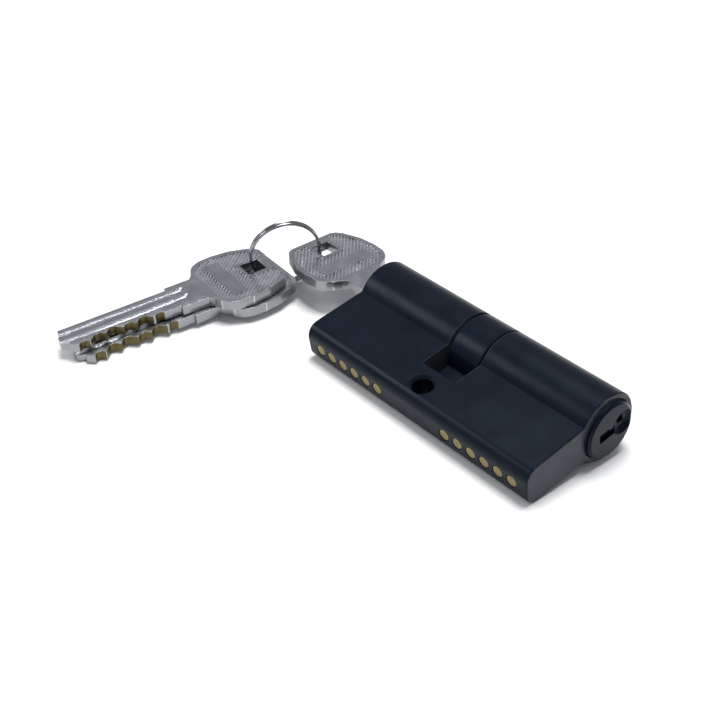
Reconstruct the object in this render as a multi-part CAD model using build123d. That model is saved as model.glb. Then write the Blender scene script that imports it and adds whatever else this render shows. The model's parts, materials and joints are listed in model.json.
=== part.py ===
"""Euro profile double lock cylinder with three keys on a split ring, lying on its flank.

Lock frame while building: X along the barrel, barrel axis at y = 0, web towards -Y, Z through
the thickness. Every piece of the lock is then moved so that the fixing screw hole is the origin
and rolled to its resting tilt, so that +Z is up from the surface it lies on.
"""
from build123d import *
from math import asin, cos, degrees, sin, sqrt
import os

os.makedirs("parts", exist_ok=True)

# ---- driving dimensions, mm -------------------------------------------------------------
half_length = 35.5          # fixing screw to either end of the housing
barrel_r = 8.5
web_w = 10.0
profile_h = 33.0            # barrel top to web bottom
web_corner_r = 3.2
edge_break = 0.35
slot_half = 5.235           # half width of the cam slot
slot_floor_r = 15.75        # slot floor, measured from the barrel axis
screw_y = -19.9             # fixing screw hole below the barrel axis
screw_r = 2.5
screw_mouth_r = 3.1
screw_mouth_depth = 0.6

core_r = 6.0                # turning plug
core_fit = 0.05
head_r = 6.95
head_len = 1.3
head_out = 1.3              # plug head stands proud of the housing end
head_chamfer = 0.55
head_gap = 0.3              # open ring between plug head and housing
scoop_y = 3.75              # dished lead-in on the side away from the web
scoop_r = 3.6
scoop_out = 1.9             # centre of the dish in front of the plug face

cam_left = -4.4             # cam ring faces along X
cam_right = 4.7
cam_bore_r = 6.1
cam_tip_r = 15.2
cam_lobe_w = 4.2
cam_rest = 11.0             # degrees, lobe leans towards the lower face
clip_w = 0.4
clip_out_r = 7.2
clip_groove_r = 5.3

pin_first = 31.0            # outermost pin chamber from the middle
pin_pitch = 4.0
pin_count = 6
pin_r = 1.4
chamber_r = 1.5
pin_drop = 1.15             # free depth below a lifted key pin
key_pin_end = -5.8          # outer end of a key pin
driver_top = -6.1
driver_len = 5.0
spring_wire_r = 0.15
spring_r = 1.15
plug_len = 2.1              # brass chamber plug
plug_recess = 0.12
cuts = [0.7, 1.7, 1.3, 2.2, 1.9, 0.9]      # key cut depths, outermost pin first

key_t = 2.5                 # bow thickness
blade_t = 2.3
blade_half = 4.3
blade_len = 30.4
shoulder_half = 5.2
hole_to_shoulder = 23.2
hole_to_end = 5.5
hole_half = 2.6
hole_y = 0.4                # hole sits this far off the middle, away from the cuts
bow_end_half = 9.0
bow_mid_half = 11.5
bow_collar_half = 10.1
key_offset = 0.8            # key middle above the barrel axis, away from the pins
groove_w = 1.3
groove_d = 0.55
groove_run = 3.4            # grooves run out this far past the shoulder
grooves = [(2.35, -1), (-0.9, -1), (2.35, 1)]    # y of each groove, face it is cut in

ring_r = 9.15               # split ring, to the middle of the wire
ring_wire_r = 0.43
ring_pitch = 0.92

web_bottom = barrel_r - profile_h
tilt = 0.0                  # resting roll: barrel and one web corner both touch the surface
for step in range(40):
    reach = barrel_r - web_corner_r
    arm = -(web_bottom + web_corner_r)
    tilt = asin((reach - (web_w / 2 - web_corner_r) * cos(tilt)) / arm)
tilt_deg = degrees(tilt)
key_turn = -tilt_deg
axis_y = -screw_y * cos(tilt)
axis_z = -screw_y * sin(tilt)
surface_z = axis_z - barrel_r

chamber_x = [pin_first - pin_pitch * i for i in range(pin_count)]


def to_rest(shape):
    """Lock frame to resting frame."""
    return Rot(tilt_deg, 0, 0) * (Pos(0, -screw_y, 0) * shape)


def turned(shape):
    """Lock frame to the rest angle of the left plug, whose key lies level."""
    return Rot(key_turn, 0, 0) * shape


def save(name, shape):
    shape.label = name
    export_step(shape, os.path.join("parts", name + ".step"))


def along_x(radius, x0, x1):
    return Pos((x0 + x1) / 2, 0, 0) * (Rot(0, 90, 0) * Cylinder(radius, x1 - x0))


def along_y(radius, x, y0, y1):
    return Pos(x, (y0 + y1) / 2, 0) * (Rot(90, 0, 0) * Cylinder(radius, y1 - y0))


def block(x0, x1, y0, y1, z0, z1):
    size = (x1 - x0, y1 - y0, z1 - z0)
    return Pos((x0 + x1) / 2, (y0 + y1) / 2, (z0 + z1) / 2) * Box(*size)


def cone_x(r0, r1, x0, x1):
    """Cone frustum with radius r0 at x0 and r1 at x1."""
    return Pos((x0 + x1) / 2, 0, 0) * (Rot(0, 90, 0) * Cone(r0, r1, x1 - x0))


# ---- housing -----------------------------------------------------------------------------
def profile_solid(x0, x1):
    web = block(x0, x1, web_bottom, 0, -web_w / 2, web_w / 2)
    low = [e for e in web.edges().filter_by(Axis.X) if e.center().Y < web_bottom + 0.1]
    return fillet(low, web_corner_r) + along_x(barrel_r, x0, x1)


housing = profile_solid(-half_length, half_length)
ends = [e for e in housing.edges() if abs(abs(e.center().X) - half_length) < 0.01]
housing = chamfer(ends, edge_break)
slot = along_x(slot_floor_r, -slot_half, slot_half)
housing -= slot
housing -= along_x(core_r + core_fit, -half_length - 1, half_length + 1)
for side in (-1, 1):
    mouth = along_x(head_r + head_gap, half_length - head_len, half_length + 1)
    housing -= mouth if side > 0 else mirror(mouth, about=Plane.YZ)
for side in (-1, 1):
    for x in chamber_x:
        housing -= along_y(chamber_r, side * x, web_bottom - 1, -4.0)
screw_hole = Pos(0, screw_y, 0) * Cylinder(screw_r, web_w + 2)
housing -= screw_hole
for side in (-1, 1):
    sink = Cone(screw_r, screw_mouth_r, screw_mouth_depth)
    sink = Pos(0, screw_y, web_w / 2 - screw_mouth_depth / 2) * sink
    housing -= sink if side > 0 else mirror(sink, about=Plane.XY)
save("housing", to_rest(housing))

chamber_plug_y0 = web_bottom + plug_recess
chamber_plug_y1 = chamber_plug_y0 + plug_len
for name, side in (("right", 1), ("left", -1)):
    plugs = [
        to_rest(along_y(chamber_r, side * x, chamber_plug_y0, chamber_plug_y1))
        for x in chamber_x
    ]
    save("chamber_plugs_" + name, Compound(children=plugs))


# ---- keys --------------------------------------------------------------------------------
# Key frame: hole centre at the origin, blade towards +X, cuts on the -Y edge, Z thickness.
shoulder_x = hole_to_shoulder
tip_x = shoulder_x + blade_len


def key_blank():
    bow_side = [
        (-hole_to_end, 0), (-hole_to_end, 6.6), (-hole_to_end + 0.7, 7.9),
        (-hole_to_end + 2.1, bow_end_half), (1.5, bow_mid_half - 0.6),
        (6.5, bow_mid_half), (10.4, bow_mid_half - 0.3), (12.7, bow_collar_half),
        (14.0, bow_collar_half - 1.7), (14.9, bow_collar_half - 3.6), (16.0, shoulder_half),
    ]
    outline = bow_side + [(shoulder_x, shoulder_half)]
    lower = [(x, -y) for x, y in outline[1:]]
    bow = Polygon(*(outline + lower[::-1]), align=None)
    rounded = [v for v in bow.vertices() if -3.6 < v.X < 15.5]
    bow = fillet(rounded, 2.2)
    bow = extrude(bow, key_t / 2, both=True)
    bow -= Pos(0, hole_y, 0) * Box(2 * hole_half, 2 * hole_half, key_t + 1)
    blade = Polygon(
        (shoulder_x - 1, -blade_half), (tip_x - 3.4, -blade_half), (tip_x - 1.6, -2.6),
        (tip_x - 1.9, -1.5), (tip_x, -0.6), (tip_x - 0.2, 1.4), (tip_x - 1.0, blade_half - 1.2),
        (tip_x - 1.2, blade_half), (shoulder_x - 1, blade_half), align=None)
    blade = extrude(blade, blade_t / 2, both=True)
    return bow + blade


def cut_tool(x, depth):
    """Trapezoid cut seen from the blade face, flat at the bottom."""
    flat = 0.55
    run = depth + 1.0
    y1 = -blade_half + depth
    sketch = Polygon((x - flat, y1), (x + flat, y1), (x + flat + run, y1 - run),
                     (x - flat - run, y1 - run), align=None)
    return extrude(sketch, key_t, both=True)


def make_key():
    key = key_blank()
    for x, depth in zip(chamber_x, cuts):
        key -= cut_tool(shoulder_x + half_length + head_out - x, depth)
    for y, z_side in grooves:
        z0 = z_side * (blade_t / 2 - groove_d)
        z1 = z_side * key_t
        key -= block(shoulder_x - groove_run, tip_x + 1, y - groove_w / 2, y + groove_w / 2,
                     min(z0, z1), max(z0, z1))
    return key


key = make_key()


# ---- plugs, circlips ---------------------------------------------------------------------
def keyway(x0, x1):
    """Slot for the blade, with ward ribs that follow the grooves."""
    half = blade_t / 2 + 0.08
    way = block(x0, x1, -blade_half - 0.15, blade_half + 0.1, -half, half)
    rib_half = groove_w / 2 - 0.12
    for y, z_side in grooves:
        z0 = -z_side * (blade_t / 2 - groove_d + 0.1)
        z1 = -z_side * (half + 0.2)
        way -= block(x0 - 1, x1 + 1, y - rib_half, y + rib_half, min(z0, z1), max(z0, z1))
    return Pos(0, key_offset, 0) * way


def make_plug(rear, slot_depth):
    """Right hand plug, head at +X, rear end towards the cam."""
    face = half_length + head_out
    plug = along_x(core_r, rear, face - head_chamfer)
    plug += along_x(head_r, half_length - head_len + 0.05, face - head_chamfer)
    plug += cone_x(head_r, head_r - head_chamfer, face - head_chamfer, face)
    plug -= keyway(rear - 1, face + 1)
    plug -= Pos(face + scoop_out, scoop_y, 0) * Sphere(scoop_r)
    for x, depth in zip(chamber_x, cuts):
        plug -= along_y(chamber_r, x, -core_r - 1, key_offset - blade_half + depth + pin_drop)
    groove = along_x(core_r + 1, slot_half - 0.05 - clip_w, slot_half - 0.05)
    groove -= along_x(clip_groove_r, 0, 20)
    plug -= groove
    plug -= block(rear - 1, rear + slot_depth, -core_r - 1, core_r + 1, -1.55, 1.55)
    return plug


def make_clip():
    x1 = slot_half - 0.05
    x0 = x1 - clip_w
    clip = along_x(clip_out_r, x0, x1) - along_x(clip_groove_r, x0 - 1, x1 + 1)
    clip -= block(x0 - 1, x1 + 1, 0, clip_out_r + 1, -3.4, 3.4)
    return clip


plug_right = make_plug(1.8, 2.4)
plug_left = Rot(180, 0, 0) * (Rot(0, 0, 180) * make_plug(1.6, 2.4))
clip_right = make_clip()
clip_left = mirror(clip_right, about=Plane.YZ)
save("plug_right", to_rest(plug_right))
save("plug_left", to_rest(turned(plug_left)))
save("circlip_right", to_rest(clip_right))
save("circlip_left", to_rest(turned(clip_left)))


# ---- cam and coupler ---------------------------------------------------------------------
def make_cam():
    ring = along_x(barrel_r, cam_left, cam_right)
    lobe = block(cam_left + 0.3, cam_right - 0.3, -cam_tip_r - 1, 0,
                 -cam_lobe_w / 2, cam_lobe_w / 2)
    lobe &= along_x(cam_tip_r, cam_left, cam_right)
    tip = [e for e in lobe.edges().filter_by(Axis.X) if e.center().Y < -cam_tip_r + 1.5]
    lobe = fillet(tip, 1.2)
    ring_edges = [e for e in ring.edges() if e.geom_type == GeomType.CIRCLE]
    ring = chamfer(ring_edges, 0.25)
    body = ring + lobe
    body -= along_x(cam_bore_r, cam_left - 1, cam_right + 1)
    body = Rot(cam_rest - key_turn, 0, 0) * body
    body -= block(cam_left - 1, cam_right + 1, -7.0, 7.0, -1.5, 1.5)
    return body


coupler = block(-3.4, 1.2, -7.0, 7.0, -1.5, 1.5) & along_x(7.0, -4, 2)
coupler += along_x(1.2, -3.95, -3.0)
cam = make_cam()
save("cam", to_rest(turned(cam)))
save("coupler", to_rest(turned(coupler)))


# ---- pins and springs --------------------------------------------------------------------
def make_key_pin(x, depth):
    tip = key_offset - blade_half + depth
    body = along_y(pin_r, x, key_pin_end, tip - 1.0)
    nose = Pos(x, tip - 0.5, 0) * (Rot(-90, 0, 0) * Cone(pin_r, 0.4, 1.0))
    return body + nose


def make_driver(x):
    pin = along_y(pin_r, x, driver_top - driver_len, driver_top)
    rims = [e for e in pin.edges() if e.geom_type == GeomType.CIRCLE]
    return chamfer(rims, 0.15)


def make_spring(x):
    y0 = chamber_plug_y1 + spring_wire_r + 0.02
    y1 = driver_top - driver_len - spring_wire_r - 0.02
    length = y1 - y0
    turns = 9
    path = Helix(pitch=length / turns, height=length, radius=spring_r)
    start = Plane(origin=path @ 0, z_dir=path % 0)
    coil = sweep(start * Circle(spring_wire_r), path=path, is_frenet=True)
    return Pos(x, y0, 0) * (Rot(-90, 0, 0) * coil)


for name, side in (("right", 1), ("left", -1)):
    for number, (x, depth) in enumerate(zip(chamber_x, cuts), start=1):
        place = side * x
        key_pin = make_key_pin(place, depth)
        if side < 0:
            key_pin = turned(key_pin)
        save("key_pin_%s_%d" % (name, number), to_rest(key_pin))
        save("driver_pin_%s_%d" % (name, number), to_rest(make_driver(place)))
        save("spring_%s_%d" % (name, number), to_rest(make_spring(place)))


# ---- keys and ring in place --------------------------------------------------------------
# Key in the left plug: shoulder against the plug head, cuts towards the pins.
in_lock = Pos(-half_length - head_out - hole_to_shoulder, key_offset, 0) * key
save("key_inserted", to_rest(turned(in_lock)))

pitch = degrees(asin(2.25 / (tip_x)))      # loose keys: bow raised on the ring, tip down
gap = 0.12


def lay_key(x, y, heading, base):
    """Loose key: hole centre at x, y from the barrel axis, bow underside base above surface."""
    middle = surface_z + base + key_t / 2
    turn = Rot(0, 0, heading) * Rot(0, pitch, 0) * Rot(180, 0, 0)
    return Pos(x, axis_y + y, middle) * (turn * key)


# The ring passes through the bow in the lock at ring_grip and stands nearly upright from there.
ring_low = 0.85             # lowest turn, wire middle, above the surface
ring_grip = (-half_length - 25.302, -0.119)
ring_centre = (ring_grip[0] - 0.426 * ring_r, axis_y + ring_grip[1] - 0.905 * ring_r,
               surface_z + ring_low + ring_r)
ring_normal = Vector(0.899, -0.423, -0.116)


def ring_far(height):
    """Where the far side of the ring crosses a height above the surface."""
    rise = height - ring_low
    reach = sqrt(2 * ring_r * rise - rise ** 2)
    return ring_centre[0] - 0.426 * reach, ring_centre[1] - axis_y - 0.905 * reach


low_base = 2.35             # underside of the lower key's bow above the surface
top_base = low_base + key_t + gap
low_x, low_y = ring_far(low_base + key_t / 2)
top_x, top_y = ring_far(top_base + key_t / 2)
save("key_loose_lower", lay_key(low_x + 0.586, low_y + 0.319, -94.5, low_base))
save("key_loose_upper", lay_key(top_x + 0.45, top_y - 0.36, -96.8, top_base))

coil_path = Helix(pitch=ring_pitch, height=2 * ring_pitch, radius=ring_r)
coil_start = Plane(origin=coil_path @ 0, z_dir=coil_path % 0)
coil = sweep(coil_start * Circle(ring_wire_r), path=coil_path, is_frenet=True)
ring_plane = Plane(origin=ring_centre, z_dir=ring_normal)
split_ring = ring_plane * (Pos(0, 0, -ring_pitch) * coil)
save("split_ring", split_ring)
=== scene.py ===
"""Black euro profile lock cylinder with its keys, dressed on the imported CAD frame.

Laid out as an add-on: property groups hold the sizes and colours, one operator makes each
piece or group of like pieces, and a panel lists them. The lock frame used below has X along the
barrel, its origin at the fixing screw hole, +Y towards the barrel and +Z through the thickness.
"""

import json
import math

import bmesh
import bpy
from bpy.props import FloatProperty, FloatVectorProperty, IntProperty, PointerProperty
from mathutils import Matrix, Vector


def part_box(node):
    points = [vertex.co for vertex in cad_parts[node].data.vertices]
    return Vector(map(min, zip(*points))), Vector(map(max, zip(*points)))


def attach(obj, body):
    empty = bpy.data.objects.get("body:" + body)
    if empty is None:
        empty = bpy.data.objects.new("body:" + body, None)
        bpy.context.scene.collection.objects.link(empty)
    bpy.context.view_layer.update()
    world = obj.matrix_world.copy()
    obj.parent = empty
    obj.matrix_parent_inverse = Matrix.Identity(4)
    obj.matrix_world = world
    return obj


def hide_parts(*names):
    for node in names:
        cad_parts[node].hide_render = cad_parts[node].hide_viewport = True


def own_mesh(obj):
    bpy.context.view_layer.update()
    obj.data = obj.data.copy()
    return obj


bl_info = {
    "name": "Lock cylinder dressing",
    "version": (1, 0, 0),
    "blender": (4, 5, 0),
    "location": "View3D > Sidebar > Lock",
    "description": "Materials and fine detail for a euro profile lock cylinder and its keys",
    "category": "Object",
}

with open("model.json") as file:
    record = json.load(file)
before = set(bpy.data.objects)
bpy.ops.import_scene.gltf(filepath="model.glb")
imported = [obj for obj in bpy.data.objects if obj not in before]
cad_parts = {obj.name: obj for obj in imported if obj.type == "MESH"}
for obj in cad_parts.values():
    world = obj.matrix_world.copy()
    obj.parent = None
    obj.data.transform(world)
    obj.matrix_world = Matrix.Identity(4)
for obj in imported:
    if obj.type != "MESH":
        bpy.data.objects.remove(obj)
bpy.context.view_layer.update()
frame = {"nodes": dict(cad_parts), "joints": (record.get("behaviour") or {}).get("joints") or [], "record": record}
NODES = frame["nodes"]
RECORD = frame["record"]

MM = 0.001
SURFACE_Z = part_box("housing")[0].z  # what the lock lies on
END_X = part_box("housing")[1].x  # from the screw hole to either end of the housing
AXIS = Vector([j for j in frame["joints"] if j["name"] == "plug_left_turn"][0]["pos_m"])
AXIS_UP = AXIS.length  # from the screw hole to the barrel axis
THROUGH = Vector(RECORD["mounts"][0]["axis"])  # along the fixing screw
ROLL = math.atan2(-THROUGH.y, THROUGH.z)  # how far the lock leans as it lies
LOCK = Matrix.Rotation(ROLL, 4, "X")


# ---- settings ----------------------------------------------------------------------------
class LockFinish(bpy.types.PropertyGroup):
    """Colours and wear of the black lock body."""
    coat: FloatVectorProperty(
        name="Coat colour", description="Blue-black coating on the housing", subtype="COLOR",
        default=(0.0026, 0.0052, 0.0105), min=0, max=1)
    coat_roughness: FloatProperty(
        name="Coat roughness", description="Sheen of the coating", subtype="FACTOR",
        default=0.34, min=0, max=1)
    wear: FloatProperty(
        name="Edge wear", description="How far the coat has rubbed thin on edges",
        subtype="FACTOR", default=0.55, min=0, max=1)
    brass: FloatVectorProperty(
        name="Brass colour", description="Chamber plugs and cut edges", subtype="COLOR",
        default=(0.27, 0.215, 0.10), min=0, max=1)


class KeyShape(bpy.types.PropertyGroup):
    """Fine detail of the keys."""
    nickel: FloatVectorProperty(
        name="Nickel colour", description="Plating on the keys", subtype="COLOR",
        default=(0.47, 0.48, 0.50), min=0, max=1)
    rib_pitch: FloatProperty(
        name="Rib pitch", description="Distance between ribs on the bow", subtype="DISTANCE",
        default=0.88 * MM, min=0.3 * MM, max=3 * MM)
    rib_count: IntProperty(
        name="Rib count", description="Ribs laid across the bow before trimming", default=36,
        min=4, max=80)
    pocket_depth: FloatProperty(
        name="Pocket depth", description="Depth of the ribbed field", subtype="DISTANCE",
        default=0.32 * MM, min=0.05 * MM, max=1 * MM)
    border: FloatProperty(
        name="Border width", description="Plain rim around the ribbed field",
        subtype="DISTANCE", default=1.15 * MM, min=0.3 * MM, max=3 * MM)


class StudioSettings(bpy.types.PropertyGroup):
    """Floor, lights and camera."""
    floor: FloatVectorProperty(
        name="Floor colour", description="Plain pale floor", subtype="COLOR",
        default=(0.86, 0.86, 0.86), min=0, max=1)
    key_light: FloatProperty(
        name="Main light", description="Strength of the large overhead light", subtype="POWER",
        default=5.0, min=0)
    fill: FloatProperty(
        name="Fill", description="Even light from all round", default=0.40, min=0)
    lens: FloatProperty(
        name="Lens", description="Focal length of the camera, in millimetres", unit="CAMERA",
        default=61.92, min=10, max=300)


# ---- small tools -------------------------------------------------------------------------
def settings():
    """The three groups of settings: lock finish, key shape and studio."""
    scene = bpy.context.scene
    return scene.lock_finish, scene.key_shape, scene.lock_studio


def mesh_piece(name, verts, faces):
    """Object of that name, in the scene, from plain vertices and faces."""
    mesh = bpy.data.meshes.new(name)
    mesh.from_pydata([tuple(v) for v in verts], [], faces)
    mesh.validate()
    made = bpy.data.objects.new(name, mesh)
    bpy.context.scene.collection.objects.link(made)
    return made


def prism(name, outline, z0, z1):
    """Closed solid from a counter-clockwise outline in X and Y."""
    count = len(outline)
    verts = [(x, y, z0) for x, y in outline] + [(x, y, z1) for x, y in outline]
    faces = [tuple(range(count))[::-1], tuple(range(count, 2 * count))]
    faces += [(i, (i + 1) % count, count + (i + 1) % count, count + i) for i in range(count)]
    return mesh_piece(name, verts, faces)


def round_corners(points, radii, steps=5):
    """Outline with each corner replaced by an arc of its own radius."""
    made = []
    count = len(points)
    for i, (point, radius) in enumerate(zip(points, radii)):
        here = Vector(point)
        back = Vector(points[i - 1]) - here
        ahead = Vector(points[(i + 1) % count]) - here
        if radius <= 0:
            made.append(tuple(here))
            continue
        half = back.angle(ahead) / 2
        run = min(radius / math.tan(half), back.length * 0.49, ahead.length * 0.49)
        radius = run * math.tan(half)
        middle = here + (back.normalized() + ahead.normalized()).normalized() * (
            radius / math.sin(half))
        start = here + back.normalized() * run - middle
        end = here + ahead.normalized() * run - middle
        sweep = math.atan2(start.cross(end), start.dot(end))
        for k in range(steps + 1):
            turn = Matrix.Rotation(sweep * k / steps, 2)
            made.append(tuple(middle + turn @ start))
    return made


def inset(outline, distance):
    """Convex outline moved inwards by a distance."""
    made = []
    count = len(outline)
    for i in range(count):
        before = Vector(outline[i]) - Vector(outline[i - 1])
        after = Vector(outline[(i + 1) % count]) - Vector(outline[i])
        if before.length < 1e-9 or after.length < 1e-9:
            continue
        n0 = Vector((-before.y, before.x)).normalized()
        n1 = Vector((-after.y, after.x)).normalized()
        n = (n0 + n1).normalized()
        made.append(tuple(Vector(outline[i]) + n * distance / max(0.5, n.dot(n0))))
    return made


def boolean(piece, tool, operation):
    """Cuts a piece with a tool, or keeps what they share."""
    modifier = piece.modifiers.new("Cut", "BOOLEAN")
    modifier.operation = operation
    modifier.solver = "EXACT"
    modifier.object = tool
    bake(piece)


def bake(piece):
    """Turns the evaluated piece into a plain mesh with no modifiers."""
    bpy.context.view_layer.update()
    graph = bpy.context.evaluated_depsgraph_get()
    mesh = bpy.data.meshes.new_from_object(piece.evaluated_get(graph), depsgraph=graph)
    mesh.name = piece.name
    piece.modifiers.clear()
    piece.data = mesh


def soften(piece, width, segments, angle):
    """Rounds every edge sharper than the angle, in degrees."""
    modifier = piece.modifiers.new("Soft edge", "BEVEL")
    modifier.width = width
    modifier.segments = segments
    modifier.limit_method = "ANGLE"
    modifier.angle_limit = math.radians(angle)
    bake(piece)


def shade(piece, angle=32, level=True):
    """Smooth shading, level on broad faces and crisp across edges sharper than the angle."""
    mesh = piece.data
    mesh.polygons.foreach_set("use_smooth", [True] * len(mesh.polygons))
    mesh.set_sharp_from_angle(angle=math.radians(angle))
    if not level:
        return
    modifier = piece.modifiers.new("Level", "WEIGHTED_NORMAL")
    modifier.keep_sharp = True
    modifier.weight = 100
    bake(piece)


def drop(*pieces):
    """Removes helper objects that have done their work."""
    for piece in pieces:
        bpy.data.objects.remove(piece)


def set_material(piece, *materials):
    """Gives a piece these materials, in this order, and no others."""
    piece.data.materials.clear()
    for material in materials:
        piece.data.materials.append(material)


def copy_of(mesh, name):
    """Object of that name, in the scene, with its own copy of a mesh."""
    piece = bpy.data.objects.new(name, mesh.copy())
    piece.data.name = name
    bpy.context.scene.collection.objects.link(piece)
    return piece


def copy_of_node(node, name):
    """Merged copy of a CAD node's mesh, ready for modelling."""
    piece = copy_of(NODES[node].data, name)
    work = bmesh.new()
    work.from_mesh(piece.data)
    bmesh.ops.remove_doubles(work, verts=work.verts, dist=1e-7)
    bmesh.ops.dissolve_limit(work, angle_limit=math.radians(0.5), verts=work.verts,
                             edges=work.edges)
    bmesh.ops.recalc_face_normals(work, faces=work.faces)
    work.to_mesh(piece.data)
    work.free()
    if "custom_normal" in piece.data.attributes:
        piece.data.attributes.remove(piece.data.attributes["custom_normal"])
    return piece


# ---- shader node groups ------------------------------------------------------------------
class Tree:
    """Short way to write a shader or geometry tree."""
    def __init__(self, tree):
        self.tree = tree

    def link(self, source, target):
        """Joins an output to an input."""
        self.tree.links.new(source, target)

    def feed(self, socket, value):
        """Gives a socket a plain value, or links another socket to it."""
        if isinstance(value, bpy.types.NodeSocket):
            self.link(value, socket)
        else:
            socket.default_value = value

    def add(self, kind, values=None, **props):
        """A node with these properties, whose inputs take plain values or other sockets."""
        node = self.tree.nodes.new(kind)
        for key, value in props.items():
            setattr(node, key, value)
        for key, value in (values or {}).items():
            self.feed(node.inputs[key], value)
        return node

    def math(self, operation, a, b=0.0, clamp=False):
        """One sum on plain values or sockets."""
        return self.add("ShaderNodeMath", {0: a, 1: b}, operation=operation,
                        use_clamp=clamp).outputs[0]

    def ramp(self, value, low, high, to_low, to_high):
        """Carries a value from one range to another."""
        return self.add("ShaderNodeMapRange",
                        {"Value": value, "From Min": low, "From Max": high, "To Min": to_low,
                         "To Max": to_high}).outputs["Result"]

    def mix(self, factor, a, b):
        """Colour between a and b."""
        return self.add("ShaderNodeMix", {0: factor, 6: a, 7: b}, data_type="RGBA").outputs[2]


def new_group(name, inputs, outputs):
    """Empty shader group with named sockets, and its input and output nodes."""
    group = bpy.data.node_groups.new(name, "ShaderNodeTree")
    for label, kind, default in inputs:
        socket = group.interface.new_socket(label, in_out="INPUT", socket_type=kind)
        if default is not None:
            socket.default_value = default
    for label, kind in outputs:
        group.interface.new_socket(label, in_out="OUTPUT", socket_type=kind)
    t = Tree(group)
    return t, t.add("NodeGroupInput"), t.add("NodeGroupOutput")


def fine_grain_group():
    """Cloudy tone and a fine dimpled height, for a baked or plated coat."""
    t, given, out = new_group(
        "Fine grain",
        [("Vector", "NodeSocketVector", None), ("Grain scale", "NodeSocketFloat", 9000.0),
         ("Cloud scale", "NodeSocketFloat", 160.0)],
        [("Cloud", "NodeSocketFloat"), ("Height", "NodeSocketFloat")])
    grain = t.add("ShaderNodeTexNoise", {"Vector": given.outputs[0], "Scale": given.outputs[1],
                                         "Detail": 2.0, "Roughness": 0.6})
    cloud = t.add("ShaderNodeTexNoise", {"Vector": given.outputs[0], "Scale": given.outputs[2],
                                         "Detail": 4.0, "Roughness": 0.65})
    t.link(cloud.outputs[0], out.inputs[0])
    t.link(grain.outputs[0], out.inputs[1])
    return t.tree


def scratches_group():
    """Thin straight scratches in three directions, as a mask."""
    t, given, out = new_group(
        "Hairline scratches",
        [("Vector", "NodeSocketVector", None), ("Density", "NodeSocketFloat", 0.5),
         ("Scale", "NodeSocketFloat", 900.0)],
        [("Mask", "NodeSocketFloat")])
    masks = []
    for turn in (0.35, -0.62, 1.3):
        mapped = t.add("ShaderNodeMapping", {"Vector": given.outputs[0],
                                             "Rotation": (0, 0, turn),
                                             "Scale": (0.035, 1.0, 0.25)})
        noise = t.add("ShaderNodeTexNoise", {"Vector": mapped.outputs[0],
                                             "Scale": given.outputs[2], "Detail": 1.5,
                                             "Roughness": 0.5})
        limit = t.math("SUBTRACT", 0.80, t.math("MULTIPLY", given.outputs[1], 0.12))
        masks.append(t.math("MULTIPLY", t.math("SUBTRACT", noise.outputs[0], limit), 12.0,
                            clamp=True))
    best = t.math("MAXIMUM", t.math("MAXIMUM", masks[0], masks[1]), masks[2])
    t.link(best, out.inputs[0])
    return t.tree


def lock_coordinates_group():
    """Object position in the lock frame, barrel axis at the origin, in millimetres."""
    t, given, out = new_group(
        "Lock coordinates", [("Vector", "NodeSocketVector", None)],
        [("Position", "NodeSocketVector"), ("X", "NodeSocketFloat"), ("Y", "NodeSocketFloat"),
         ("Z", "NodeSocketFloat"), ("Radius", "NodeSocketFloat")])
    turned = t.add("ShaderNodeMapping", {"Vector": given.outputs[0],
                                         "Rotation": (-ROLL, 0, 0)})
    moved = t.add("ShaderNodeVectorMath", {0: turned.outputs[0], 1: (0, -AXIS_UP, 0)},
                  operation="ADD")
    scaled = t.add("ShaderNodeVectorMath", {0: moved.outputs[0], "Scale": 1 / MM},
                   operation="SCALE")
    split = t.add("ShaderNodeSeparateXYZ", {0: scaled.outputs[0]})
    radius = t.math("SQRT", t.math("ADD", t.math("POWER", split.outputs[1], 2.0),
                                   t.math("POWER", split.outputs[2], 2.0)))
    t.link(scaled.outputs[0], out.inputs[0])
    for i in range(3):
        t.link(split.outputs[i], out.inputs[i + 1])
    t.link(radius, out.inputs[4])
    return t.tree


def rubbed_edge_group():
    """Mask near an edge: a distance in millimetres, broken up so the wear comes and goes."""
    t, given, out = new_group(
        "Rubbed edge",
        [("Vector", "NodeSocketVector", None), ("Distance", "NodeSocketFloat", 1.0),
         ("Width", "NodeSocketFloat", 0.35), ("Amount", "NodeSocketFloat", 0.5)],
        [("Mask", "NodeSocketFloat")])
    broken = t.add("ShaderNodeTexNoise", {"Vector": given.outputs[0], "Scale": 420.0,
                                          "Detail": 5.0, "Roughness": 0.7})
    near = t.math("SUBTRACT", 1.0, t.math("DIVIDE", given.outputs[1], given.outputs[2]),
                  clamp=True)
    breaks = t.math("MULTIPLY", broken.outputs[0], 0.9)
    patchy = t.math("SUBTRACT", t.math("ADD", near, breaks), 0.98)
    mask = t.math("MULTIPLY", t.math("MULTIPLY", patchy, 3.0, clamp=True), given.outputs[3])
    t.link(mask, out.inputs[0])
    return t.tree


GROUPS = {}


def group_named(name):
    """One of the shader groups, built the first time that it is asked for."""
    makers = {"grain": fine_grain_group, "scratches": scratches_group,
              "lock": lock_coordinates_group, "rubbed": rubbed_edge_group}
    if name not in GROUPS:
        GROUPS[name] = makers[name]()
    return GROUPS[name]


def place_group(t, name, values):
    """Node that uses one of the shader groups with these values."""
    return t.add("ShaderNodeGroup", values, node_tree=group_named(name))


def new_material(name, **constants):
    """Material with plain values on its shader, and the Object coordinates to paint by."""
    material = bpy.data.materials.new(name)
    material.use_nodes = True
    t = Tree(material.node_tree)
    shader = material.node_tree.nodes["Principled BSDF"]
    for key, value in constants.items():
        shader.inputs[key.replace("_", " ")].default_value = value
    coords = t.add("ShaderNodeTexCoord").outputs["Object"]
    return material, t, shader, coords


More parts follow.
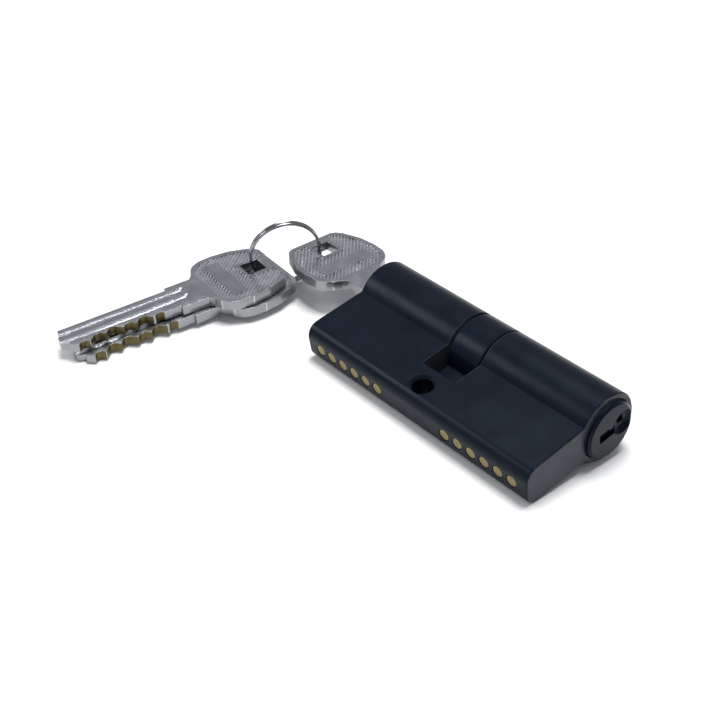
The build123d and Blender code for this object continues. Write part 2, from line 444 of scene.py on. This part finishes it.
def add_bump(t, shader, height, strength, distance):
    """Fine relief on a shader, its distance in millimetres."""
    bump = t.add("ShaderNodeBump", {"Height": height, "Strength": strength,
                                    "Distance": distance * MM})
    t.link(bump.outputs[0], shader.inputs["Normal"])


def colour(values, factor=1.0):
    """A setting's colour, brightened or darkened, as a socket takes it."""
    return (values[0] * factor, values[1] * factor, values[2] * factor, 1.0)


# ---- geometry node helpers ---------------------------------------------------------------
def new_geometry_tree(name, values):
    """Geometry Nodes tree with named inputs: Tree, two end nodes, the inputs' identifiers."""
    tree = bpy.data.node_groups.new(name, "GeometryNodeTree")
    face = tree.interface
    face.new_socket("Geometry", in_out="INPUT", socket_type="NodeSocketGeometry")
    ids = {}
    for key, label, kind in values:
        ids[key] = face.new_socket(label, in_out="INPUT",
                                   socket_type="NodeSocket" + kind).identifier
    face.new_socket("Geometry", in_out="OUTPUT", socket_type="NodeSocketGeometry")
    t = Tree(tree)
    return t, t.add("NodeGroupInput"), t.add("NodeGroupOutput"), ids


def close_tree(t, geometry, material, out):
    """Ends a tree with real geometry in one material."""
    whole = t.add("GeometryNodeRealizeInstances", {0: geometry})
    paint = t.add("GeometryNodeSetMaterial", {"Geometry": whole.outputs[0],
                                              "Material": material})
    t.link(paint.outputs[0], out.inputs[0])


def grow(piece, tree, ids, **values):
    """Runs a Geometry Nodes tree on a piece with these values and keeps the result."""
    modifier = piece.modifiers.new("Grow", "NODES")
    modifier.node_group = tree
    for key, value in values.items():
        modifier[ids[key]] = value
    bake(piece)


# ---- materials ---------------------------------------------------------------------------
MATERIALS = {}

# Housing, millimetres.
HOUSING_EDGE_R = 0.18  # rounding of its edges
SLOT_HALF = 5.235  # half the width of the cam slot
WEB_REACH = 15.8  # from the barrel axis to where wear along the slot ends
RUBBED = (0.075, 0.08, 0.09, 1.0)
SCRATCHED = (0.06, 0.065, 0.075, 1.0)


def coated_black(name, roughness=None, brushed=False):
    """Blue-black coat, with thin wear along the housing's ends and the sides of its slot."""
    finish = settings()[0]
    material, t, shader, coords = new_material(name, Specular_IOR_Level=0.13,
                                               Specular_Tint=(0.70, 0.86, 1.0, 1.0))
    lock = place_group(t, "lock", {"Vector": coords})
    grain = place_group(t, "grain", {"Vector": coords, "Grain scale": 7000.0,
                                     "Cloud scale": 120.0})
    scratch = place_group(t, "scratches", {"Vector": coords, "Density": 0.35, "Scale": 700.0})
    along = t.math("ABSOLUTE", lock.outputs["X"])
    end = t.math("ABSOLUTE", t.math("SUBTRACT", along, END_X / MM))
    slot = t.math("ABSOLUTE", t.math("SUBTRACT", along, SLOT_HALF))
    slot = t.math("ADD", slot, t.ramp(lock.outputs["Radius"], WEB_REACH - 0.1,
                                      WEB_REACH + 0.1, 0.0, 5.0))
    near_end = place_group(t, "rubbed", {"Vector": coords, "Distance": end, "Width": 0.5,
                                         "Amount": finish.wear})
    near_slot = place_group(t, "rubbed", {"Vector": coords, "Distance": slot, "Width": 0.32,
                                          "Amount": finish.wear * 0.8})
    wear = t.math("MAXIMUM", near_end.outputs[0], near_slot.outputs[0])
    base = t.mix(grain.outputs["Cloud"], colour(finish.coat, 0.8), colour(finish.coat, 1.25))
    worn = t.mix(wear, base, RUBBED)
    marked = t.mix(t.math("MULTIPLY", scratch.outputs[0], 0.35), worn, SCRATCHED)
    t.link(marked, shader.inputs["Base Color"])
    base_rough = finish.coat_roughness if roughness is None else roughness
    if brushed:
        streaks = t.add("ShaderNodeMapping", {"Vector": lock.outputs["Position"],
                                              "Scale": (1.0, 0.03, 0.03)})
        lines = t.add("ShaderNodeTexNoise", {"Vector": streaks.outputs[0], "Scale": 9.0,
                                             "Detail": 6.0, "Roughness": 0.8})
        rough = t.ramp(lines.outputs[0], 0.35, 0.65, base_rough - 0.10, base_rough + 0.14)
        height = lines.outputs[0]
    else:
        rough = t.ramp(grain.outputs["Cloud"], 0.3, 0.7, base_rough - 0.05,
                       base_rough + 0.07)
        height = grain.outputs["Height"]
    t.link(rough, shader.inputs["Roughness"])
    add_bump(t, shader, height, 0.12, 0.03 if brushed else 0.02)
    return material


def cut_brass(name, tone=1.0):
    """Cut brass, cloudy and lightly scratched."""
    finish = settings()[0]
    material, t, shader, coords = new_material(name, Metallic=1.0)
    grain = place_group(t, "grain", {"Vector": coords, "Grain scale": 5200.0,
                                     "Cloud scale": 700.0})
    scratch = place_group(t, "scratches", {"Vector": coords, "Density": 0.8, "Scale": 1500.0})
    base = t.mix(grain.outputs["Cloud"], colour(finish.brass, 0.62 * tone),
                 colour(finish.brass, 1.25 * tone))
    t.link(base, shader.inputs["Base Color"])
    rough = t.ramp(grain.outputs["Cloud"], 0.3, 0.7, 0.34, 0.52)
    t.link(rough, shader.inputs["Roughness"])
    scored = t.math("MULTIPLY", scratch.outputs[0], -0.6)
    add_bump(t, shader, t.math("ADD", grain.outputs["Height"], scored), 0.35, 0.04)
    return material


def plated_nickel(name, tone=1.0, roughness=0.24, scratch_amount=0.5):
    """Nickel plating, with a cloudy tone and hairline scratches; tone brightens or darkens the whole plating,
    which some callers use as painted highlight or painted shade.
    """
    shape = settings()[1]
    material, t, shader, coords = new_material(name, Metallic=1.0)
    grain = place_group(t, "grain", {"Vector": coords, "Grain scale": 6000.0,
                                     "Cloud scale": 240.0})
    scratch = place_group(t, "scratches", {"Vector": coords, "Density": scratch_amount,
                                           "Scale": 1100.0})
    base = t.mix(grain.outputs["Cloud"], colour(shape.nickel, 0.82 * tone),
                 colour(shape.nickel, 1.1 * tone))
    marked = t.mix(t.math("MULTIPLY", scratch.outputs[0], 0.5), base,
                   colour(shape.nickel, 1.5 * tone))
    t.link(marked, shader.inputs["Base Color"])
    rough = t.ramp(grain.outputs["Cloud"], 0.3, 0.7, roughness - 0.06, roughness + 0.08)
    t.link(rough, shader.inputs["Roughness"])
    scored = t.math("MULTIPLY", scratch.outputs[0], -0.8)
    add_bump(t, shader, t.math("ADD", grain.outputs["Height"], scored), 0.18, 0.03)
    return material


def plain_steel(name):
    """Bare steel of the hidden pieces."""
    material, t, shader, coords = new_material(name, Metallic=1.0)
    grain = place_group(t, "grain", {"Vector": coords, "Grain scale": 5000.0,
                                     "Cloud scale": 600.0})
    base = t.mix(grain.outputs["Cloud"], (0.36, 0.36, 0.37, 1), (0.55, 0.55, 0.55, 1))
    t.link(base, shader.inputs["Base Color"])
    rough = t.ramp(grain.outputs["Cloud"], 0.3, 0.7, 0.22, 0.36)
    t.link(rough, shader.inputs["Roughness"])
    add_bump(t, shader, grain.outputs["Height"], 0.1, 0.02)
    return material


def make_materials():
    """All the finishes, and the lit and shaded copies of the key nickel that paint highlight and shade, under the
    short names that the operators use.
    """
    MATERIALS["housing"] = coated_black("Housing blue-black")
    MATERIALS["plug"] = coated_black("Plug blue-black", roughness=0.30)
    MATERIALS["cam"] = coated_black("Cam brushed black", roughness=0.30, brushed=True)
    MATERIALS["brass"] = cut_brass("Cut brass")
    MATERIALS["cut"] = cut_brass("Key cut edge", 0.5)
    MATERIALS["nickel"] = plated_nickel("Key nickel")
    # Brighter plating on the ribs: a painted highlight on the same nickel.
    MATERIALS["ribs"] = plated_nickel("Key rib crowns with painted highlight", tone=1.6, roughness=0.26)
    # Brighter plating in the grooves is a painted highlight; the lower roughness is the milled finish itself.
    MATERIALS["milled"] = plated_nickel("Key milled groove with painted highlight", tone=1.75, roughness=0.17,
                                        scratch_amount=0.9)
    # Darker plating for the key's broad sides: painted shade, the same nickel as the rest of the key.
    MATERIALS["edge"] = plated_nickel("Key side plating with painted shade", tone=0.62, roughness=0.34)
    # Darker plating on the ring: painted shade standing in for dark reflections along the wire.
    MATERIALS["wire"] = plated_nickel("Ring wire with painted shade", tone=0.62, roughness=0.14,
                                      scratch_amount=0.3)
    MATERIALS["steel"] = plain_steel("Plain steel")


# ---- keys --------------------------------------------------------------------------------
# Key frame, millimetres: hole centre at the origin, blade towards +X, cuts on the -Y edge.
HOLE_Y = 0.4  # middle line of the bow's square hole
SHOULDER = 23.2  # from the hole to where the blade starts
BLADE_LEN = 30.4
BLADE_HALF = 4.3
BOW_HALF_T = 1.25
BLADE_HALF_T = 1.15
BOW_SIDE = [(-5.5, 6.6), (-4.8, 7.9), (-3.4, 9.0), (1.5, 10.9), (6.5, 11.5), (10.4, 11.2),
            (12.7, 10.1), (14.0, 8.4), (14.9, 6.5)]
BOW_CORNER_R = 1.6
HOLE_RIM = (-7.5, 3.5, HOLE_Y - 3.4, HOLE_Y + 3.4)  # plain metal round the hole
PLATE = (6.3, 10.6, -8.0, 8.0)  # plain bar across the bow
RIB_R = 0.29
RIB_TURN = math.radians(48)
RIB_CENTRE = 5.0
GROOVES = ((2.35, -1), (-0.9, -1), (2.35, 1))  # middle line and side of each groove
GROOVE_DEPTH = 0.55
GROOVE_FLOOR = 0.42  # half the width of its floor
GROOVE_START = SHOULDER - 4.6
GROOVE_RUN = 4.2  # length of the curve in which it runs out
GROOVE_STEPS = 12
EDGE_R = 0.22  # rounding of the key's edges
HEAD_OUT = 1.3  # how far the plug's head stands out of the housing
KEY_OFFSET = 0.8  # the key's middle line against the barrel axis
TIP_RISE = 2.25  # how much higher one end of a loose key lies than the other
PITCH = math.asin(TIP_RISE / (SHOULDER + BLADE_LEN))
# Loose keys: hole's X, its Y from the barrel axis, heading in degrees, height off the surface.
LOOSE = {"key_loose_lower": (-66.9, -14.0, -94.5, 2.35),
         "key_loose_upper": (-67.8, -16.3, -96.8, 4.97)}
KEY_FINISHES_AND_PAINTED_LIGHT = ("nickel", "cut", "edge", "milled")


def field_outline(border):
    """Outline of the ribbed field, a border's width inside the bow."""
    outline = [(x, -y) for x, y in BOW_SIDE] + [(x, y) for x, y in BOW_SIDE[::-1]]
    rounded = round_corners(outline, [BOW_CORNER_R] * len(outline), 3)
    return inset(rounded, border)


def box_outline(x0, x1, y0, y1):
    """Counter-clockwise rectangle."""
    return [(x0, y0), (x1, y0), (x1, y1), (x0, y1)]


def rib_tree(material):
    """Geometry Nodes: parallel ribs laid across the bow and trimmed to the pocket."""
    t, given, out, ids = new_geometry_tree(
        "Bow ribs", (("count", "Count", "Int"), ("pitch", "Pitch", "Float"),
                     ("radius", "Rib radius", "Float"), ("height", "Height", "Float"),
                     ("turn", "Turn", "Float"), ("centre", "Centre", "Float")))
    step = t.add("ShaderNodeCombineXYZ", {0: given.outputs["Pitch"]})
    span = t.math("MULTIPLY", given.outputs["Pitch"],
                  t.math("MULTIPLY", given.outputs["Count"], -0.5))
    start = t.add("ShaderNodeCombineXYZ", {0: span})
    line = t.add("GeometryNodeMeshLine", {"Count": given.outputs["Count"],
                                          "Start Location": start.outputs[0],
                                          "Offset": step.outputs[0]})
    bar = t.add("GeometryNodeMeshCylinder", {"Vertices": 6, "Depth": 60.0,
                                             "Radius": given.outputs["Rib radius"]})
    laid = t.add("GeometryNodeTransform", {"Geometry": bar.outputs["Mesh"],
                                           "Rotation": (math.pi / 2, 0, 0)})
    ribs = t.add("GeometryNodeInstanceOnPoints", {"Points": line.outputs[0],
                                                  "Instance": laid.outputs[0]})
    real = t.add("GeometryNodeRealizeInstances", {0: ribs.outputs[0]})
    place = t.add("ShaderNodeCombineXYZ", {0: given.outputs["Centre"],
                                           2: given.outputs["Height"]})
    spin = t.add("ShaderNodeCombineXYZ", {2: given.outputs["Turn"]})
    turned = t.add("GeometryNodeTransform", {"Geometry": real.outputs[0],
                                             "Translation": place.outputs[0],
                                             "Rotation": spin.outputs[0]})
    trim = t.add("GeometryNodeMeshBoolean", operation="INTERSECT", solver="EXACT")
    t.link(turned.outputs[0], trim.inputs["Mesh 2"])
    t.link(given.outputs["Geometry"], trim.inputs["Mesh 2"])
    close_tree(t, trim.outputs[0], material, out)
    return t.tree, ids


def groove_cutter(y, side):
    """Milled groove with sloping walls that runs out in a long curve near the bow."""
    sections = []
    for k in range(GROOVE_STEPS + 1):
        s = k / GROOVE_STEPS
        d = GROOVE_DEPTH * (1 - (1 - s) ** 2) + 0.002
        sections.append((GROOVE_START + GROOVE_RUN * s, d, y + 0.9 * (1 - s) ** 2))
    sections.append((SHOULDER + BLADE_LEN + 1.0, GROOVE_DEPTH, y))
    verts = []
    for x, d, middle in sections:
        floor = GROOVE_FLOOR * min(1.0, 0.3 + 0.7 * d / GROOVE_DEPTH)
        top = floor + d * 0.55 + 0.02
        for dy, dz in ((-top, 0.3), (-top, 0.0), (-floor, -d), (floor, -d), (top, 0.0),
                       (top, 0.3)):
            verts.append((x, middle + dy, side * (BLADE_HALF_T + dz)))
    faces = []
    for k in range(len(sections) - 1):
        for i in range(6):
            a, b = k * 6 + i, k * 6 + (i + 1) % 6
            faces.append((a, a + 6, b + 6, b))
    faces += [tuple(range(6)), tuple(range(len(verts) - 1, len(verts) - 7, -1))]
    if side < 0:
        faces = [face[::-1] for face in faces]
    cutter = mesh_piece("groove", verts, faces)
    tidy_normals(cutter)
    return cutter


def tidy_normals(piece):
    """Merges doubled vertices and turns every face outwards."""
    work = bmesh.new()
    work.from_mesh(piece.data)
    bmesh.ops.remove_doubles(work, verts=work.verts, dist=1e-6)
    bmesh.ops.recalc_face_normals(work, faces=work.faces)
    work.to_mesh(piece.data)
    work.free()


def key_master():
    """One key in its own frame, in millimetres: body with pockets and grooves, and ribs."""
    shape = settings()[1]
    source = copy_of_node("key_inserted", "key_master")
    source.data.transform(key_places()["key_inserted"][1].inverted())
    soften(source, EDGE_R, 3, 40)
    depth = shape.pocket_depth / MM
    field = field_outline(shape.border / MM)
    ribs = []
    # The ribs take the brighter plating, a painted highlight.
    tree, ids = rib_tree(MATERIALS["ribs"])
    for side in (1, -1):
        low, high = sorted((side * (BOW_HALF_T - depth), side * (BOW_HALF_T + 0.2)))
        pocket = prism("ribs", field, low, high)
        for outline in (HOLE_RIM, PLATE):
            island = prism("island", box_outline(*outline), low - 1, high + 1)
            boolean(pocket, island, "DIFFERENCE")
            drop(island)
        boolean(source, pocket, "DIFFERENCE")
        bound = prism("bound", box_outline(-20, 30, -20, 20), *sorted(
            (side * (BOW_HALF_T - depth - 0.01), side * (BOW_HALF_T - 0.03))))
        boolean(pocket, bound, "INTERSECT")
        drop(bound)
        grow(pocket, tree, ids, count=shape.rib_count, pitch=shape.rib_pitch / MM,
             radius=RIB_R, height=side * (BOW_HALF_T - depth), turn=RIB_TURN,
             centre=RIB_CENTRE)
        ribs.append(pocket)
    for y, side in GROOVES:
        cutter = groove_cutter(y, side)
        boolean(source, cutter, "DIFFERENCE")
        drop(cutter)
    for piece in [source] + ribs:
        shade(piece, level=False)
    return source, ribs


def paint_key(piece):
    """Bare metal on the cuts, plating with a painted highlight in the grooves, plating darkened as painted shade
    on the broad sides, plating elsewhere.
    """
    set_material(piece, *(MATERIALS[name] for name in KEY_FINISHES_AND_PAINTED_LIGHT))
    for face in piece.data.polygons:
        at, normal = face.center, face.normal
        finish = "nickel"
        if (SHOULDER + 0.6 < at.x < SHOULDER + BLADE_LEN - 3.0
                and -BLADE_HALF + 0.03 < at.y < -1.3
                and abs(normal.z) < 0.3 and normal.y < -0.2):
            finish = "cut"
        # Groove floors and walls take the brighter plating, a painted highlight.
        elif (at.x > SHOULDER - 5 and abs(at.y) < BLADE_HALF - 0.4
              and 0.4 < abs(at.z) < BLADE_HALF_T - 0.04):
            finish = "milled"
        # Broad side faces take the darker plating, a painted shade in place of dull reflections along the sides.
        elif abs(normal.z) < 0.25 and face.area > 0.4:
            finish = "edge"
        face.material_index = KEY_FINISHES_AND_PAINTED_LIGHT.index(finish)


def loose_matrix(x, y, heading, base):
    """From the key frame to a key that lies on the surface."""
    middle = SURFACE_Z + (base + BOW_HALF_T) * MM
    place = Matrix.Translation((x * MM, AXIS.y + y * MM, middle))
    turn = Matrix.Rotation(math.radians(heading), 4, "Z") @ Matrix.Rotation(PITCH, 4, "Y")
    return place @ turn @ Matrix.Rotation(math.pi, 4, "X") @ Matrix.Scale(MM, 4)


def key_places():
    """Each key's body to ride on, and the way there from the key frame."""
    inserted = Matrix.Translation(
        (-END_X - (HEAD_OUT + SHOULDER) * MM, AXIS.y + KEY_OFFSET * MM, AXIS.z))
    places = {"key_inserted": ("plug_left", inserted @ Matrix.Scale(MM, 4))}
    for name, lie in LOOSE.items():
        places[name] = (name, loose_matrix(*lie))
    return places


# ---- springs and chamber plugs -----------------------------------------------------------
# Chamber plugs, millimetres: their outer faces look down -Y of the lock frame.
PLUG_COUNT = 6
PLUG_R = 1.5
PLUG_GAP = 0.18  # dark gap round each plug
PLUG_TOP = -4.48
PLUG_LEN = 2.1
DIMPLE_R = 0.75


def coil_spring(joint):
    """Spring behind one driver pin; a real one shortens towards its plug as the pin goes in, but this copy keeps
    its shape and rides with the housing.
    """
    node = joint["child"].replace("driver_pin", "spring")
    coil = copy_of_node(node, node + "_coil")
    set_material(coil, MATERIALS["steel"])
    shade(coil, 40, level=False)
    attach(coil, "housing")
    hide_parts(node)
    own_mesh(coil)


def plug_row_tree(material):
    """Geometry Nodes: a row of turned plugs, each with a small dimple in its outer face."""
    t, given, out, ids = new_geometry_tree(
        "Plug row", (("count", "Count", "Int"), ("pitch", "Pitch", "Float"),
                     ("start", "Start", "Float"), ("radius", "Radius", "Float"),
                     ("length", "Length", "Float"), ("dimple", "Dimple radius", "Float")))
    step = t.add("ShaderNodeCombineXYZ", {0: given.outputs["Pitch"]})
    start = t.add("ShaderNodeCombineXYZ", {0: given.outputs["Start"]})
    line = t.add("GeometryNodeMeshLine", {"Count": given.outputs["Count"],
                                          "Start Location": start.outputs[0],
                                          "Offset": step.outputs[0]})
    body = t.add("GeometryNodeMeshCylinder", {"Vertices": 48,
                                              "Radius": given.outputs["Radius"],
                                              "Depth": given.outputs["Length"]})
    ball = t.add("GeometryNodeMeshIcoSphere", {"Radius": given.outputs["Dimple radius"],
                                               "Subdivisions": 4})
    lift = t.add("ShaderNodeCombineXYZ", {2: t.math(
        "ADD", t.math("MULTIPLY", given.outputs["Length"], 0.5),
        t.math("MULTIPLY", given.outputs["Dimple radius"], 0.8))})
    raised = t.add("GeometryNodeTransform", {"Geometry": ball.outputs["Mesh"],
                                             "Translation": lift.outputs[0]})
    cut = t.add("GeometryNodeMeshBoolean", operation="DIFFERENCE", solver="EXACT")
    t.link(body.outputs["Mesh"], cut.inputs["Mesh 1"])
    t.link(raised.outputs[0], cut.inputs["Mesh 2"])
    row = t.add("GeometryNodeInstanceOnPoints", {"Points": line.outputs[0],
                                                 "Instance": cut.outputs[0]})
    close_tree(t, row.outputs[0], material, out)
    return t.tree, ids


def plug_row(side, tree, ids):
    """The six plugs of one side, turned the right way and set in the web."""
    node = "chamber_plugs_" + side
    low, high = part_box(node)
    row = mesh_piece(node + "_turned", [(0, 0, 0)], [])
    grow(row, tree, ids, count=PLUG_COUNT,
         pitch=((high.x - low.x) / MM - 2 * PLUG_R) / (PLUG_COUNT - 1),
         start=low.x / MM + PLUG_R, radius=PLUG_R - PLUG_GAP, length=PLUG_LEN,
         dimple=DIMPLE_R)
    upright = Matrix.Translation((0, PLUG_TOP + PLUG_LEN / 2, 0)) @ Matrix.Rotation(
        math.pi / 2, 4, "X")
    row.data.transform(LOCK @ Matrix.Scale(MM, 4) @ upright)
    shade(row)
    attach(row, "housing")
    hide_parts(node)


# ---- stage -------------------------------------------------------------------------------
FLOOR_HALF = 3.0
SKY = (0.93, 0.96, 1.0, 1)
LAMP_AIM = Vector((-0.02, 0, 0))
# Lamps: name, place, size, and power as a share of the main light's.
LAMPS = (("light_top", (-0.04, 0.10, 0.80), 0.36, 1.5),
         ("light_left", (-0.50, -0.40, 0.45), 0.25, 0.30))
CAMERA_AT = (0.15733, -0.15373, 0.16827)
CAMERA_TURN = (54.4157, 0.1491, 49.2948)  # degrees


def make_floor(studio):
    """Large plain floor under the lock and keys."""
    corners = [(x * FLOOR_HALF, y * FLOOR_HALF, SURFACE_Z)
               for x, y in ((-1, -1), (1, -1), (1, 1), (-1, 1))]
    floor = mesh_piece("floor", corners, [(0, 1, 2, 3)])
    material, _, shader, _ = new_material("Pale floor", Roughness=0.9, Specular_IOR_Level=0.1,
                                          Base_Color=colour(studio.floor))
    set_material(floor, material)


def make_lights(scene, studio):
    """Even light from all round, and two soft lamps."""
    world = bpy.data.worlds.new("Studio")
    world.use_nodes = True
    background = world.node_tree.nodes["Background"]
    background.inputs["Color"].default_value = SKY
    background.inputs["Strength"].default_value = studio.fill
    scene.world = world
    scene.view_settings.view_transform = "Standard"
    for name, at, size, share in LAMPS:
        lamp = bpy.data.lights.new(name, "AREA")
        lamp.size = size
        lamp.energy = studio.key_light * share
        made = bpy.data.objects.new(name, lamp)
        made.location = at
        made.rotation_euler = (LAMP_AIM - Vector(at)).to_track_quat("-Z", "Y").to_euler()
        scene.collection.objects.link(made)


def make_camera(scene, studio):
    """Camera above the near end of the lock, looking down along it to the keys."""
    data = bpy.data.cameras.new("camera")
    data.lens = studio.lens
    data.sensor_width = 36
    data.clip_start = 0.01
    camera = bpy.data.objects.new("camera", data)
    camera.location = CAMERA_AT
    camera.rotation_euler = [math.radians(angle) for angle in CAMERA_TURN]
    scene.collection.objects.link(camera)
    scene.camera = camera


# ---- operators ---------------------------------------------------------------------------
class LOCK_OT_stage(bpy.types.Operator):
    """Floor, lights and camera"""
    bl_idname = "lock.stage"
    bl_label = "Stage"

    def execute(self, context):
        studio = settings()[2]
        make_floor(studio)
        make_lights(context.scene, studio)
        make_camera(context.scene, studio)
        return {"FINISHED"}


class LOCK_OT_housing(bpy.types.Operator):
    """Housing with its coat and broken edges"""
    bl_idname = "lock.housing"
    bl_label = "Housing"

    def execute(self, context):
        body = copy_of_node("housing", "housing_soft")
        soften(body, HOUSING_EDGE_R * MM, 2, 60)
        set_material(body, MATERIALS["housing"])
        shade(body, 25)
        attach(body, "housing")
        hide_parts("housing")
        return {"FINISHED"}


class LOCK_OT_plugs(bpy.types.Operator):
    """Turning plugs with their circlips"""
    bl_idname = "lock.plugs"
    bl_label = "Plugs"

    def execute(self, context):
        for side in ("left", "right"):
            set_material(NODES["plug_" + side], MATERIALS["plug"])
            set_material(NODES["circlip_" + side], MATERIALS["steel"])
        return {"FINISHED"}


class LOCK_OT_cam(bpy.types.Operator):
    """Cam ring with brushed sides, and the coupler inside it"""
    bl_idname = "lock.cam"
    bl_label = "Cam"

    def execute(self, context):
        set_material(NODES["cam"], MATERIALS["cam"])
        set_material(NODES["coupler"], MATERIALS["steel"])
        return {"FINISHED"}


class LOCK_OT_pins(bpy.types.Operator):
    """Key pins, driver pins, springs and chamber plugs"""
    bl_idname = "lock.pins"
    bl_label = "Pins"

    def execute(self, context):
        for name, node in NODES.items():
            if name.startswith("key_pin"):
                set_material(node, MATERIALS["brass"])
            elif name.startswith("driver_pin"):
                set_material(node, MATERIALS["steel"])
        for joint in frame["joints"]:
            if joint["name"].startswith("driver_pin"):
                coil_spring(joint)
        tree, ids = plug_row_tree(MATERIALS["brass"])
        for side in ("left", "right"):
            plug_row(side, tree, ids)
        return {"FINISHED"}


class LOCK_OT_keys(bpy.types.Operator):
    """Three keys with ribbed bows, milled grooves and cut edges"""
    bl_idname = "lock.keys"
    bl_label = "Keys"

    def execute(self, context):
        body, ribs = key_master()
        paint_key(body)
        for node, (rides_on, matrix) in key_places().items():
            for number, part in enumerate([body] + ribs):
                name = node + ("_ribs_%d" % number if number else "_body")
                piece = copy_of(part.data, name)
                piece.data.transform(matrix)
                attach(piece, rides_on)
                if number == 0:
                    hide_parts(node)
        drop(body, *ribs)
        return {"FINISHED"}


class LOCK_OT_ring(bpy.types.Operator):
    """Split ring"""
    bl_idname = "lock.ring"
    bl_label = "Split ring"

    def execute(self, context):
        # The wire's darker plating is painted shade.
        set_material(NODES["split_ring"], MATERIALS["wire"])
        return {"FINISHED"}


class LOCK_PT_panel(bpy.types.Panel):
    """Lists the lock's pieces and settings"""
    bl_label = "Lock"
    bl_idname = "LOCK_PT_panel"
    bl_space_type = "VIEW_3D"
    bl_region_type = "UI"
    bl_category = "Lock"

    def draw(self, context):
        """One button for each operator, then the settings group by group."""
        layout = self.layout
        for operator in OPERATORS:
            layout.operator(operator.bl_idname)
        for name, group in SETTINGS.items():
            held = getattr(context.scene, name)
            box = layout.box()
            for key in group.__annotations__:
                box.prop(held, key)


OPERATORS = (LOCK_OT_stage, LOCK_OT_housing, LOCK_OT_plugs, LOCK_OT_cam, LOCK_OT_pins,
             LOCK_OT_keys, LOCK_OT_ring)
SETTINGS = {"lock_finish": LockFinish, "key_shape": KeyShape, "lock_studio": StudioSettings}


def register():
    """Adds the classes, and the settings to the scene."""
    for made in (*SETTINGS.values(), *OPERATORS, LOCK_PT_panel):
        bpy.utils.register_class(made)
    for name, group in SETTINGS.items():
        setattr(bpy.types.Scene, name, PointerProperty(type=group))


def unregister():
    """Takes away what register added."""
    for name in SETTINGS:
        delattr(bpy.types.Scene, name)
    for made in (LOCK_PT_panel, *OPERATORS[::-1], *list(SETTINGS.values())[::-1]):
        bpy.utils.unregister_class(made)


def main():
    """Makes everything in order."""
    register()
    make_materials()
    for operator in OPERATORS:
        getattr(bpy.ops.lock, operator.bl_idname.split(".")[1])()


if __name__ == "__main__":
    main()
